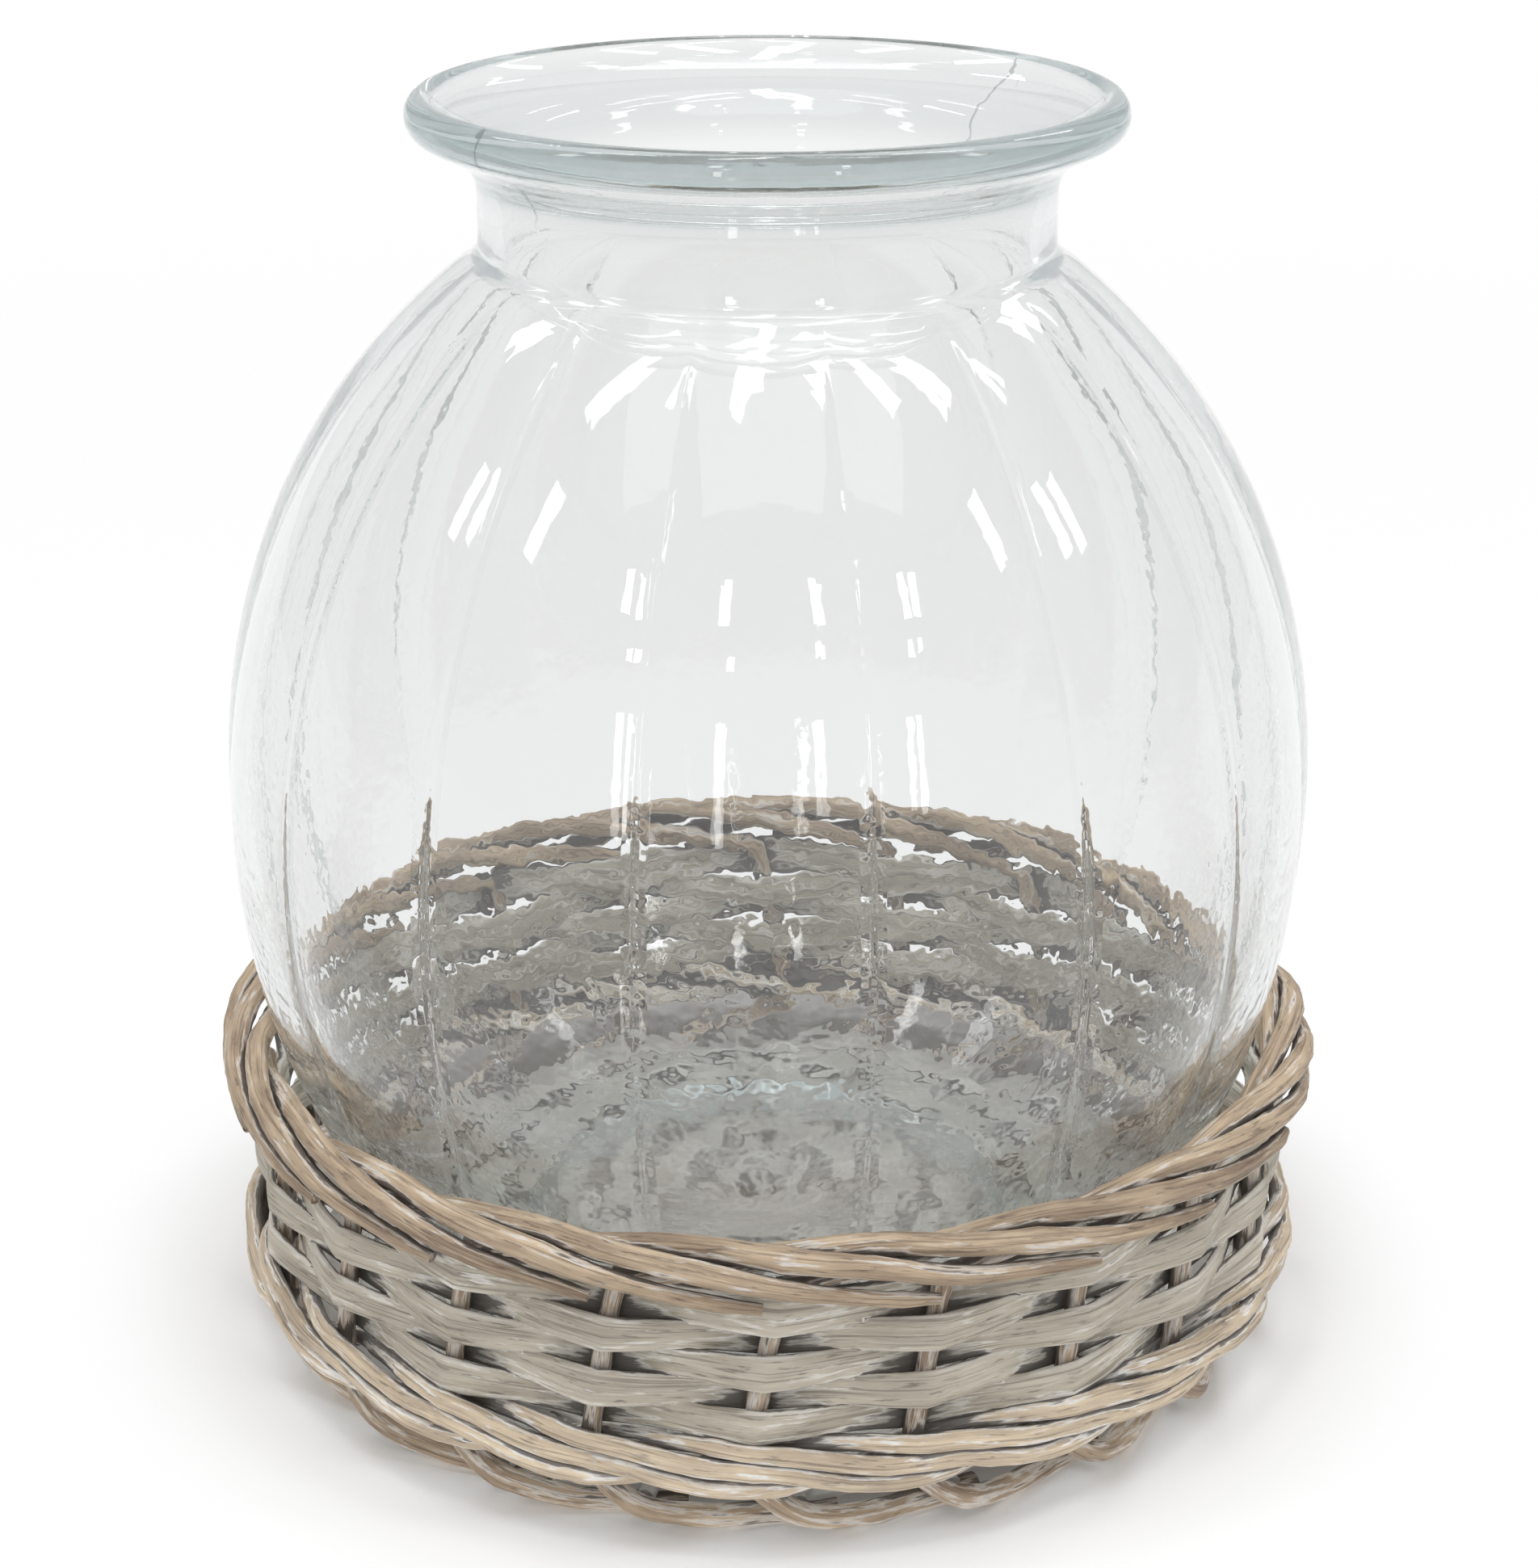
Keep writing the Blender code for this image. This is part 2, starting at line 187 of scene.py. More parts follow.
hang_lamp("lamp_overhead", azimuth=0, elevation=78, distance=1.3, width=1.1, height=1.1, watts=6.0)
bpy.context.object.visible_glossy = False
narrow_lamp_distance = 1.4
narrow_lamps = (
    ("skylight", -10, 87, 0.08, 0.46, 1.0),
    ("roof_left", -80, 64, 0.10, 0.46, 1.0),
    ("roof_far_left", -120, 50, 0.10, 0.36, 0.9),
    ("roof_right", 90, 61, 0.08, 0.46, 0.9),
    ("roof_far_right", 130, 42, 0.08, 0.36, 0.8),
    ("window_low_left", -14, 8, 0.07, 0.46, 0.75),
    ("window_small_left", -12, 27, 0.06, 0.06, 0.1),
    ("window_middle_left", -16, 37, 0.08, 0.18, 0.45),
    ("window_high_left", -28, 78, 0.10, 0.40, 1.1),
    ("window_far_left", -70, 38, 0.12, 0.30, 0.9),
    ("window_low_right", 20, 10, 0.05, 0.36, 0.45),
    ("window_small_right", 24, 28, 0.05, 0.06, 0.08),
    ("window_middle_right", 25, 36, 0.07, 0.18, 0.4),
    ("window_high_right", 60, 74, 0.09, 0.45, 1.2),
    ("window_far_right", 72, 36, 0.12, 0.30, 0.9),
)
for name, azimuth, elevation, width, height, watts in narrow_lamps:
    hang_lamp(name, azimuth, elevation, narrow_lamp_distance, width, height, watts)


# Glass vase: one thick piece of moulded clear glass, with sixteen round flutes under a short neck,
# a flared flange and a rolled lip. It stands loose on the basket floor, on a ring under its foot.
vase_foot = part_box("glass_vase")[0].z
vase_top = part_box("glass_vase")[1].z
belly_radius = 0.1192
belly_height = 0.1136
shoulder_rise = 0.1370
bowl_drop = 0.1430
wall = 0.0040
foot_rounding = 0.0030
foot_inset = 0.0076
foot_ring = 0.0140
foot_slope = 0.0020
underside_rise = 0.0040
glass_floor_top = 0.0076
inner_ring_width = 0.0044
inner_ring_height = 0.0014
neck_radius = 0.0604
neck_wall = 0.0054
neck_length = 0.0150
flange_start = 0.0025
lip_radius = 0.0747
lip_bead = 0.0035
lip_rise = 0.0043
flange_sweep = 0.0042
flange_pull = (0.0062, 0.0030)
throat_slope = (0.0034, 0.0026)
throat_rounding = 0.0040
weld_distance = 0.00001
flutes = 16
flute_turn = math.radians(-1.35)
groove_depth = 0.0021
inner_groove_share = 0.85
steps_per_flute = 16


def bowl_point(angle, inset=0.0):
    rise = (shoulder_rise if angle > 0 else bowl_drop) - inset
    return (belly_radius - inset) * math.cos(angle), belly_height + rise * math.sin(angle)


def bowl_angle(height, inset=0.0):
    rise = (shoulder_rise if height > belly_height else bowl_drop) - inset
    return math.asin((height - belly_height) / rise)


def curve_between(start, first_pull, second_pull, end, steps):
    """The points after the start of a smooth curve that is drawn towards two guide points."""
    points = []
    for i in range(1, steps + 1):
        t = i / steps
        shares = ((1 - t) ** 3, 3 * (1 - t) ** 2 * t, 3 * (1 - t) * t ** 2, t ** 3)
        guides = (start, first_pull, second_pull, end)
        points.append(tuple(sum(share * guide[k] for share, guide in zip(shares, guides)) for k in (0, 1)))
    return points


neck_angle = math.acos(neck_radius / belly_radius)
neck_base = bowl_point(neck_angle)[1]
neck_top = neck_base + neck_length
bead_radius = lip_radius - lip_bead
bead_height = vase_top - vase_foot - lip_rise
inner_neck = neck_radius - neck_wall
foot_angle = bowl_angle(foot_rounding)
foot_radius = bowl_point(foot_angle)[0] - foot_inset
ring_radius = foot_radius - foot_ring

# Half section from the middle of the underside, up the outside, over the lip and down to the floor
section = [(ring_radius * share, underside_rise) for share in (0.0, 0.33, 0.66, 1.0)]
section += [(ring_radius + foot_slope, 0.0), (foot_radius, 0.0)]
outer_rings = 62
fillet = 0.0055
fillet_angle = 0.05
fillet_steps = 6
flange_steps = 10
throat_steps = 7
shoulder_end = neck_angle - fillet_angle
for i in range(outer_rings + 1):
    section.append(bowl_point(foot_angle + (shoulder_end - foot_angle) * i / outer_rings))
neck_corner = (neck_radius, neck_base)
section += curve_between(section[-1], neck_corner, neck_corner, (neck_radius, neck_base + fillet),
                         fillet_steps)
section.append((neck_radius, neck_top - flange_start))
bead_start, bead_end = math.radians(-75), math.radians(150)
bead_steps = 16
bead = []
for i in range(bead_steps + 1):
    turn = bead_start + (bead_end - bead_start) * i / bead_steps
    bead.append((bead_radius + lip_bead * math.cos(turn), bead_height + lip_rise * math.sin(turn)))
section += curve_between(section[-1], (neck_radius, neck_top + flange_sweep),
                         (bead[0][0] - flange_pull[0], bead[0][1] - flange_pull[1]), bead[0],
                         flange_steps)
section += bead[1:]
throat = (inner_neck, neck_top + neck_wall)
throat_edge = (inner_neck + throat_slope[0], throat[1] + throat_slope[1])
for share in (0.33, 0.66, 1.0):
    section.append((bead[-1][0] + (throat_edge[0] - bead[-1][0]) * share,
                    bead[-1][1] + (throat_edge[1] - bead[-1][1]) * share))
section += curve_between(throat_edge, throat, throat, (inner_neck, throat[1] - throat_rounding),
                         throat_steps)
inner_shoulder = math.acos(inner_neck / (belly_radius - wall))
inner_bottom = bowl_angle(glass_floor_top + foot_rounding, wall)
inner_corner = (inner_neck, bowl_point(inner_shoulder, wall)[1])
section.append((inner_neck, inner_corner[1] + fillet))
inner_end = bowl_point(inner_shoulder - fillet_angle, wall)
section += curve_between(section[-1], inner_corner, inner_corner, inner_end, fillet_steps)
for i in range(1, outer_rings + 1):
    section.append(bowl_point(inner_shoulder - fillet_angle
                              + (inner_bottom - inner_shoulder + fillet_angle) * i / outer_rings, wall))
floor_edge = section[-1][0] - foot_rounding
section.append((floor_edge, glass_floor_top))
for across, up in ((1.0, 0.0), (0.6, 0.35), (0.0, 1.0), (-0.6, 0.35), (-1.0, 0.0)):
    section.append((ring_radius + across * inner_ring_width / 2, glass_floor_top + up * inner_ring_height))
section += [(ring_radius * share, glass_floor_top) for share in (0.75, 0.5, 0.25, 0.0)]

bpy.ops.mesh.primitive_plane_add(size=0.001, location=(0.0, 0.0, 0.0))
vase = bpy.context.object
vase.name = "fluted_glass_vase"
bpy.ops.object.mode_set(mode="EDIT")
bpy.ops.mesh.merge(type="CENTER")
bpy.ops.transform.translate(value=(0.0, 0.0, section[0][1] + vase_foot))
for (radius, height), (next_radius, next_height) in zip(section, section[1:]):
    step = (next_radius - radius, 0.0, next_height - height)
    bpy.ops.mesh.extrude_region_move(TRANSFORM_OT_translate={"value": step})
bpy.ops.object.mode_set(mode="OBJECT")
for vertex in vase.data.vertices:
    vertex.select = False
rounded = {(ring_radius, underside_rise): 0.0010, (ring_radius + foot_slope, 0.0): 0.0008,
           (foot_radius, 0.0): 0.0022, (floor_edge, glass_floor_top): 0.0020}
for (radius, height), rounding in rounded.items():
    corner = min(vase.data.vertices, key=lambda v: math.hypot(v.co.x - radius, v.co.z - height - vase_foot))
    corner.select = True
    bpy.ops.object.mode_set(mode="EDIT")
    bpy.ops.mesh.bevel(affect="VERTICES", offset=rounding, segments=4)
    bpy.ops.mesh.select_all(action="DESELECT")
    bpy.ops.object.mode_set(mode="OBJECT")
bpy.ops.object.mode_set(mode="EDIT")
bpy.ops.mesh.select_all(action="SELECT")
bpy.ops.mesh.spin(steps=flutes * steps_per_flute, angle=2 * math.pi, center=(0.0, 0.0, 0.0),
                  axis=(0.0, 0.0, 1.0))
bpy.ops.mesh.select_all(action="SELECT")
bpy.ops.mesh.remove_doubles(threshold=weld_distance)
bpy.ops.mesh.normals_make_consistent(inside=False)
bpy.ops.object.mode_set(mode="OBJECT")
bpy.ops.object.transform_apply(location=True, rotation=True, scale=True)


def ease(value):
    value = min(max(value, 0.0), 1.0)
    return value * value * (3 - 2 * value)


groove_fade_top = 0.024
groove_fade_foot = 0.014
groove_sharpness = 1.6
groove_line_start = 0.92
axis_radius = 0.001
inside_margin = 0.001
floor_margin = 0.0005
ripple_size = 0.022
ripple_stretch = 0.6
inner_ripple_place = 40.0
outer_ripple = 0.00006
inner_ripple = 0.00008
flute_angle = 2 * math.pi / flutes
outer_side = vase.data.attributes.new("outer_side", "FLOAT", "POINT")
outer_side.data.foreach_set("value", [float(vertex.normal.x * vertex.co.x + vertex.normal.y * vertex.co.y > 0)
                                      for vertex in vase.data.vertices])
in_groove = np.zeros(len(vase.data.vertices), np.float32)
for vertex in vase.data.vertices:
    x, y, z = vertex.co
    radius, height = math.hypot(x, y), z - vase_foot
    if radius < axis_radius:
        continue
    flute, place = divmod(math.atan2(x, -y) / flute_angle + 0.5, 1.0)
    across = place * 2 - 1
    across = math.copysign(1 - (1 - abs(across)) ** groove_sharpness, across)
    angle = (flute + across / 2) * flute_angle + flute_turn
    wall_middle = bowl_point(bowl_angle(min(height, neck_base)))[0] - wall / 2
    inside = height > glass_floor_top - inside_margin and radius < wall_middle
    depth = groove_depth * (inner_groove_share if inside else 1.0)
    depth *= ease((neck_base - height) / groove_fade_top) * ease(height / groove_fade_foot)
    on_line = ease((abs(across) - groove_line_start) / (1 - groove_line_start))
    in_groove[vertex.index] = on_line * depth / groove_depth
    ripple_place = Vector((x, y, z * ripple_stretch)) / ripple_size
    ripple = noise.noise(ripple_place + Vector((0.0, 0.0, inner_ripple_place if inside else 0.0)))
    ripple *= inner_ripple if inside else outer_ripple
    if height < glass_floor_top + floor_margin:
        vertex.co.z += ripple if inside else 0.0
        ripple = 0.0
    radius += ripple - depth * across * across
    vertex.co.x, vertex.co.y = radius * math.sin(angle), -radius * math.cos(angle)
vase.data.attributes.new("in_groove", "FLOAT", "POINT").data.foreach_set("value", in_groove)
bpy.ops.object.shade_smooth_by_angle(angle=math.radians(45))

glass = bpy.data.materials.new("clear_moulded_glass")
glass.use_nodes = True
nodes = glass.node_tree.nodes
links = glass.node_tree.links
clear = nodes["Principled BSDF"]
clear.inputs["Metallic"].default_value = 0.0
clear.inputs["IOR"].default_value = 1.45
clear.inputs["Transmission Weight"].default_value = 1.0
place = nodes.new("ShaderNodeTexCoord")
upward = nodes.new("ShaderNodeSeparateXYZ")
links.new(place.outputs["Object"], upward.inputs[0])
outward = nodes.new("ShaderNodeVectorMath")
outward.operation = "MULTIPLY"
outward.inputs[1].default_value = (1.0, 1.0, 0.0)
links.new(place.outputs["Object"], outward.inputs[0])
from_middle = nodes.new("ShaderNodeVectorMath")
from_middle.operation = "LENGTH"
links.new(outward.outputs[0], from_middle.inputs[0])
wave_scale = 280.0
waves = nodes.new("ShaderNodeTexNoise")
waves.inputs["Scale"].default_value = wave_scale
waves.inputs["Detail"].default_value = 1.0
links.new(place.outputs["Object"], waves.inputs["Vector"])

# The two halves of the mould left a fine raised line on the outside of the flange, left and right; it is also
# painted grey, a painted shade for the dark line it makes by bending the light
seam_turn = math.radians(-49)
seam_wander = 0.004
seam_width = 0.0004
seam_height = 5.0
seam_painted_shade = (0.35, 0.37, 0.38, 1.0)
flange_fade_start, flange_fade_end = -0.004, 0.002
seam_plane = nodes.new("ShaderNodeVectorMath")
seam_plane.operation = "DOT_PRODUCT"
seam_plane.inputs[1].default_value = (math.cos(seam_turn), math.sin(seam_turn), 0.0)
links.new(place.outputs["Object"], seam_plane.inputs[0])
wavering = combine("MULTIPLY_ADD", waves.outputs["Fac"], seam_wander, seam_plane.outputs["Value"])
at_seam = combine("COMPARE", wavering, seam_wander / 2, seam_width)
on_outside = nodes.new("ShaderNodeAttribute")
on_outside.attribute_name = "outer_side"
flange_height = vase_foot + neck_top
on_flange = fade(upward.outputs["Z"], flange_height + flange_fade_start, flange_height + flange_fade_end,
                 smooth=False)
seam = combine("MULTIPLY", combine("MULTIPLY", at_seam, on_outside.outputs["Fac"]), on_flange)

# The glass is a little uneven, most of all towards the foot and in a beaded line down each groove,
# and its inner floor is slightly frosted
groove_beads = 1.8
uneven_foot, uneven_neck = 1.0, 0.2
uneven_start, uneven_end = 0.09, 0.17
frost = 0.17
frost_start, frost_end = 0.001, 0.005
bump_height = 0.00008
hammered = fade(upward.outputs["Z"], uneven_start, uneven_end, uneven_foot, uneven_neck, smooth=False)
groove_line = nodes.new("ShaderNodeAttribute")
groove_line.attribute_name = "in_groove"
beaded = combine("MULTIPLY_ADD", groove_line.outputs["Fac"], groove_beads, hammered)
dents = combine("MULTIPLY", waves.outputs["Fac"], beaded)
relief = nodes.new("ShaderNodeBump")
relief.inputs["Strength"].default_value = 1.0
relief.inputs["Distance"].default_value = bump_height
links.new(combine("MULTIPLY_ADD", seam, seam_height, dents), relief.inputs["Height"])
links.new(relief.outputs["Normal"], clear.inputs["Normal"])
inner_floor = vase_foot + glass_floor_top
frosted_base = fade(upward.outputs["Z"], inner_floor + frost_start, inner_floor + frost_end, frost, 0.0,
                    smooth=False)
links.new(frosted_base, clear.inputs["Roughness"])
clear_tint = (0.945, 0.943, 0.940, 1.0)
flange_tint = (0.81, 0.82, 0.82, 1.0)
tint_fade_start, tint_fade_end = 0.009, 0.006
inside_bead = fade(from_middle.outputs["Value"], lip_radius - tint_fade_start, lip_radius - tint_fade_end,
                   1.0, 0.0, smooth=False)
tint = blend(combine("MULTIPLY", on_flange, inside_bead), clear_tint, flange_tint)
# The mould seam is painted a darker grey in the glass colour: painted shade.
links.new(blend(seam, tint, seam_painted_shade), clear.inputs["Base Color"])

# Light that has turned back inside the glass several times is let out, as thick clear glass
# looks bright inside rather than black, and the glass throws only a pale shadow
turns_in_bowl = 1.5
let_out_share = 0.6
let_through_share = 0.9
depth_colour = (0.34, 0.50, 0.51, 1.0)
depth_strength = 12.0
trapped = nodes.new("ShaderNodeLightPath")
turns_kept = combine("ADD", on_flange, turns_in_bowl)
turned_back = combine("GREATER_THAN", trapped.outputs["Glossy Depth"], turns_kept)
open_share = combine("MAXIMUM", combine("MULTIPLY", turned_back, let_out_share),
                     combine("MULTIPLY", trapped.outputs["Is Shadow Ray"], let_through_share))
links.new(combine("SUBTRACT", 1.0, open_share), clear.inputs["Alpha"])
depth_tint = nodes.new("ShaderNodeVolumeAbsorption")
depth_tint.inputs["Color"].default_value = depth_colour
depth_tint.inputs["Density"].default_value = depth_strength
links.new(depth_tint.outputs["Volume"], nodes["Material Output"].inputs["Volume"])
vase.data.materials.append(glass)
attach(vase, "vase")
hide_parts("glass_vase")


# Willow finish: weathered peeled willow, tan to grey, with fibres along the rod, dark brown cracks,
# brown painted shade deep in the weave and the remains of a white wash beside it. Every willow piece uses it.
willow = bpy.data.node_groups.new("weathered_willow", "ShaderNodeTree")
for socket, kind in (("Grain", "NodeSocketVector"), ("Wood", "NodeSocketColor"), ("Bark", "NodeSocketColor"),
                     ("Wash", "NodeSocketColor"), ("Dirt", "NodeSocketColor"), ("Shelter", "NodeSocketFloat"),
                     ("Wash Amount", "NodeSocketFloat"), ("Dirt Amount", "NodeSocketFloat"),
                     ("Edge Wear", "NodeSocketFloat")):
    willow.interface.new_socket(socket, in_out="INPUT", socket_type=kind)
for socket, kind in (("Color", "NodeSocketColor"), ("Roughness", "NodeSocketFloat"),
                     ("Height", "NodeSocketFloat")):
    willow.interface.new_socket(socket, in_out="OUTPUT", socket_type=kind)
nodes = willow.nodes
links = willow.links
given = nodes.new("NodeGroupInput")
made = nodes.new("NodeGroupOutput")


def streaks(stretch, detail, roughness):
    """Noise drawn out along the rod; stretch is in repeats per metre along and across."""
    scaled = nodes.new("ShaderNodeVectorMath")
    scaled.operation = "MULTIPLY"
    scaled.inputs[1].default_value = stretch
    links.new(given.outputs["Grain"], scaled.inputs[0])
    fibre = nodes.new("ShaderNodeTexNoise")
    fibre.inputs["Scale"].default_value = 1.0
    fibre.inputs["Detail"].default_value = detail
    fibre.inputs["Roughness"].default_value = roughness
    links.new(scaled.outputs[0], fibre.inputs["Vector"])
    return fibre.outputs["Fac"]


coarse = streaks((38.0, 520.0, 1.0), 4.0, 0.6)
fine = streaks((170.0, 2400.0, 1.0), 3.0, 0.55)
patches = streaks((55.0, 160.0, 1.0), 3.0, 0.5)
flecks = streaks((130.0, 1000.0, 1.0), 3.0, 0.6)
tone = streaks((7.0, 3.0, 1.0), 1.0, 0.5)
wood_share = combine("ADD", combine("MULTIPLY", fade(coarse, 0.38, 0.62), 0.45),
                     combine("ADD", combine("MULTIPLY", fade(patches, 0.36, 0.62), 0.30),
                             combine("MULTIPLY", fade(tone, 0.34, 0.62), 0.25)))
colour = blend(wood_share, given.outputs["Bark"], given.outputs["Wood"])
hairs = streaks((26.0, 1500.0, 1.0), 2.0, 0.6)
cracks = combine("MAXIMUM", combine("MULTIPLY", fade(flecks, 0.54, 0.68), 0.75),
                 combine("MULTIPLY", fade(hairs, 0.52, 0.66), 0.6))
colour = blend(combine("MULTIPLY", cracks, given.outputs["Dirt Amount"]), colour, given.outputs["Dirt"])
smear = combine("ADD", combine("MULTIPLY", combine("SUBTRACT", coarse, 0.5), 1.4),
                combine("ADD", combine("MULTIPLY", combine("SUBTRACT", patches, 0.5), 0.8),
                        combine("MULTIPLY", combine("SUBTRACT", flecks, 0.5), 1.0)))
reached = combine("ADD", given.outputs["Shelter"], smear)
patchy = combine("ADD", combine("MULTIPLY", fade(flecks, 0.38, 0.58), 0.6), 0.4)
wash_band = combine("MULTIPLY", combine("MULTIPLY", fade(reached, 0.16, 0.32), patchy),
                    given.outputs["Wash Amount"])
wash_edge = combine("MULTIPLY", given.outputs["Edge Wear"], fade(patches, 0.40, 0.58))
colour = blend(combine("MAXIMUM", wash_band, wash_edge), colour, given.outputs["Wash"])
# Painted shade: the dark brown deep in the weave, where the shelter is high.
dirt = combine("MULTIPLY", fade(reached, 0.36, 0.58), given.outputs["Dirt Amount"])
colour = blend(dirt, colour, given.outputs["Dirt"])
links.new(colour, made.inputs["Color"])
links.new(combine("ADD", combine("MULTIPLY", fine, 0.3), 0.45), made.inputs["Roughness"])
fibres = combine("ADD", combine("MULTIPLY", coarse, 0.7), combine("MULTIPLY", fine, 0.3))
links.new(fibres, made.inputs["Height"])


def srgb(red, green, blue):
    """A colour read from a picture, 0 to 255, as Blender's linear colour."""
    linear = []
    for value in (red, green, blue):
        share = value / 255
        linear.append(share / 12.92 if share <= 0.04045 else ((share + 0.055) / 1.055) ** 2.4)
    return (*linear, 1.0)


wear_start = 0.36
wear_share = 0.8
willow_shine = 0.3


def willow_material(name, wood, bark, wash, dirt, wash_amount, dirt_amount, relief_depth,
                    worn_width=None):
    """Willow with its own colours; a split strip of the worn width is pale along its edges."""
    global nodes, links
    material = bpy.data.materials.new(name)
    material.use_nodes = True
    nodes = material.node_tree.nodes
    links = material.node_tree.links
    shader = nodes["Principled BSDF"]
    finish = nodes.new("ShaderNodeGroup")
    finish.node_tree = willow
    grain = nodes.new("ShaderNodeUVMap")
    grain.uv_map = "UVMap"
    links.new(grain.outputs["UV"], finish.inputs["Grain"])
    shelter = nodes.new("ShaderNodeAttribute")
    shelter.attribute_name = "shelter"
    links.new(shelter.outputs["Fac"], finish.inputs["Shelter"])
    for socket, colour in (("Wood", wood), ("Bark", bark), ("Wash", wash), ("Dirt", dirt)):
        finish.inputs[socket].default_value = srgb(*colour)
    finish.inputs["Wash Amount"].default_value = wash_amount
    finish.inputs["Dirt Amount"].default_value = dirt_amount
    finish.inputs["Edge Wear"].default_value = 0.0
    if worn_width:
        across = nodes.new("ShaderNodeSeparateXYZ")
        links.new(grain.outputs["UV"], across.inputs[0])
        from_middle = combine("ABSOLUTE", across.outputs["Y"], 0.0)
        worn = fade(from_middle, worn_width * wear_start, worn_width * 0.5)
        links.new(combine("MULTIPLY", worn, wear_share), finish.inputs["Edge Wear"])
    relief = nodes.new("ShaderNodeBump")
    relief.inputs["Strength"].default_value = 1.0
    relief.inputs["Distance"].default_value = relief_depth
    links.new(finish.outputs["Height"], relief.inputs["Height"])
    links.new(relief.outputs["Normal"], shader.inputs["Normal"])
    links.new(finish.outputs["Color"], shader.inputs["Base Color"])
    links.new(finish.outputs["Roughness"], shader.inputs["Roughness"])
    shader.inputs["Specular IOR Level"].default_value = willow_shine
    return material


# Stakes: twenty willow rods. Each starts as a tail tucked under the foot, turns up through the
# weave and ends rolled sideways over its neighbours as the border. Its foot is cut flat.
def bend_through(keys, steps):
    """Smooth route through the keys, each a tuple of numbers."""
    keys = np.array(keys, float)
    ends = np.vstack([2 * keys[0] - keys[1], keys, 2 * keys[-1] - keys[-2]])
    route = []
    for a, b, c, d in zip(ends, ends[1:], ends[2:], ends[3:]):
        for i in range(steps):
            t = i / steps
            route.append((2 * b + (c - a) * t + (2 * a - 5 * b + 4 * c - d) * t ** 2
                          + (3 * b - a - 3 * c + d) * t ** 3) / 2)
    return np.array(route + [keys[-1]])


def even_steps(points, spacing):
    """The same route with points at an even spacing."""
    points = np.array(points)
    along = np.concatenate([[0.0], np.cumsum(np.linalg.norm(np.diff(points, axis=0), axis=1))])
    count = max(int(along[-1] / spacing), 4)
    at = np.linspace(0.0, along[-1], count + 1)
    return np.stack([np.interp(at, along, points[:, k]) for k in range(points.shape[1])], axis=1)


noise.seed_set(5)
node_gaps = (0.05, 0.08)
node_length = 0.0022
node_swell = 0.12
width_change = 0.10
rod_wander = 0.0004
skin_unevenness = 0.00018
width_waves = 55.0
wander_waves = 45.0
wander_spread = 900.0
skin_waves = 260.0
fine_skin_waves = 700.0
grain_shifts = (0.0, 3.0)
grain_turn = 7


def lay_rod(name, route, widths, chance, closed=False):
    """A peeled rod of the given widths bent along a route, with leaf nodes and a slightly uneven skin."""
    bpy.ops.curve.primitive_nurbs_path_add(location=(0.0, 0.0, 0.0))
    rod = bpy.context.object
    rod.name = name
    path = rod.data
    path.splines.clear()
    spline = path.splines.new("POLY")
    points = route[:-1] if closed else route
    spline.points.add(len(points) - 1)
    spline.use_cyclic_u = closed
    node_gap = chance.uniform(*node_gaps)
    node_start = chance.uniform(0.0, node_gap)
    length = float(np.sum(np.linalg.norm(np.diff(route, axis=0), axis=1)))
    for i, (point, place) in enumerate(zip(spline.points, points)):
        along = length * i / (len(route) - 1)
        from_node = ((along - node_start + node_gap / 2) % node_gap - node_gap / 2) / node_length
        swell = 1.0 + node_swell * math.exp(-from_node ** 2)
        swell += width_change * noise.noise(Vector(place) * width_waves)
        own_place = Vector((0.0, 0.0, node_start * wander_spread))
        wander = noise.noise_vector(Vector(place) * wander_waves + own_place)
        wander *= rod_wander
        point.co = (*(Vector(place) + wander), 1.0)
        point.radius = widths[i] / 2 * swell
    path.bevel_depth = 1.0
    path.bevel_resolution = 4
    path.use_fill_caps = not closed
    bpy.ops.object.convert(target="MESH")
    rod = bpy.context.object
    bpy.ops.object.mode_set(mode="EDIT")
    bpy.ops.mesh.select_all(action="SELECT")
    bpy.ops.mesh.remove_doubles(threshold=weld_distance)
    bpy.ops.mesh.normals_make_consistent(inside=False)
    bpy.ops.object.mode_set(mode="OBJECT")
    girth = math.pi * float(np.mean(widths))
    shift = chance.uniform(*grain_shifts)
    for corner in rod.data.uv_layers[0].data:
        corner.uv = (corner.uv[0] * length + shift, corner.uv[1] * girth + shift * grain_turn)
    for vertex in rod.data.vertices:
        bump = noise.noise(vertex.co * skin_waves) + 0.5 * noise.noise(vertex.co * fine_skin_waves)
        vertex.co += vertex.normal * bump * skin_unevenness
    bpy.ops.object.shade_smooth_by_angle(angle=math.radians(60))
    return rod


stake_count = 20
stake_space = 2 * math.pi / stake_count
stake_ring = 0.1138
stake_lean = 0.165
stake_crowding = 0.075
fan_radius = 0.02205
tail_width = 0.0048
stake_width = 0.0041
border_width = 0.0050
tip_width = 0.0034
rod_lay = 0.0054
foot_flat = 0.00045
tail_lean = 0.35
floor_middle = 0.0069
wale_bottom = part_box("wale_rod_1")[0].z
wall_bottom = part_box("wall_strip_1")[0].z
wall_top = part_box("wall_strip_5")[1].z
rod_step = 0.0020
border_sway = 0.06
width_changes = ((0.20, 0.08, stake_width - tail_width), (0.45, 0.08, border_width - stake_width),
                 (0.78, 0.17, tip_width - border_width))
cut_start, cut_length, cut_taper = 0.96, 0.04, 0.25


def in_basket(side, radius, height):
    """A place in the basket, counted in stake spaces from the front towards +X. The stakes lean,
    and they stand closer together at the front."""
    angle = side * stake_space
    level = np.clip(height, wale_bottom, wall_top) - (wall_bottom + wall_top) / 2
    spread = np.maximum(0.0, 1 - fan_radius / radius) / (1 - fan_radius / stake_ring)
    angle = angle + stake_lean * level / stake_ring - stake_crowding * spread * np.sin(angle)
    return radius * np.sin(angle), -radius * np.cos(angle), height


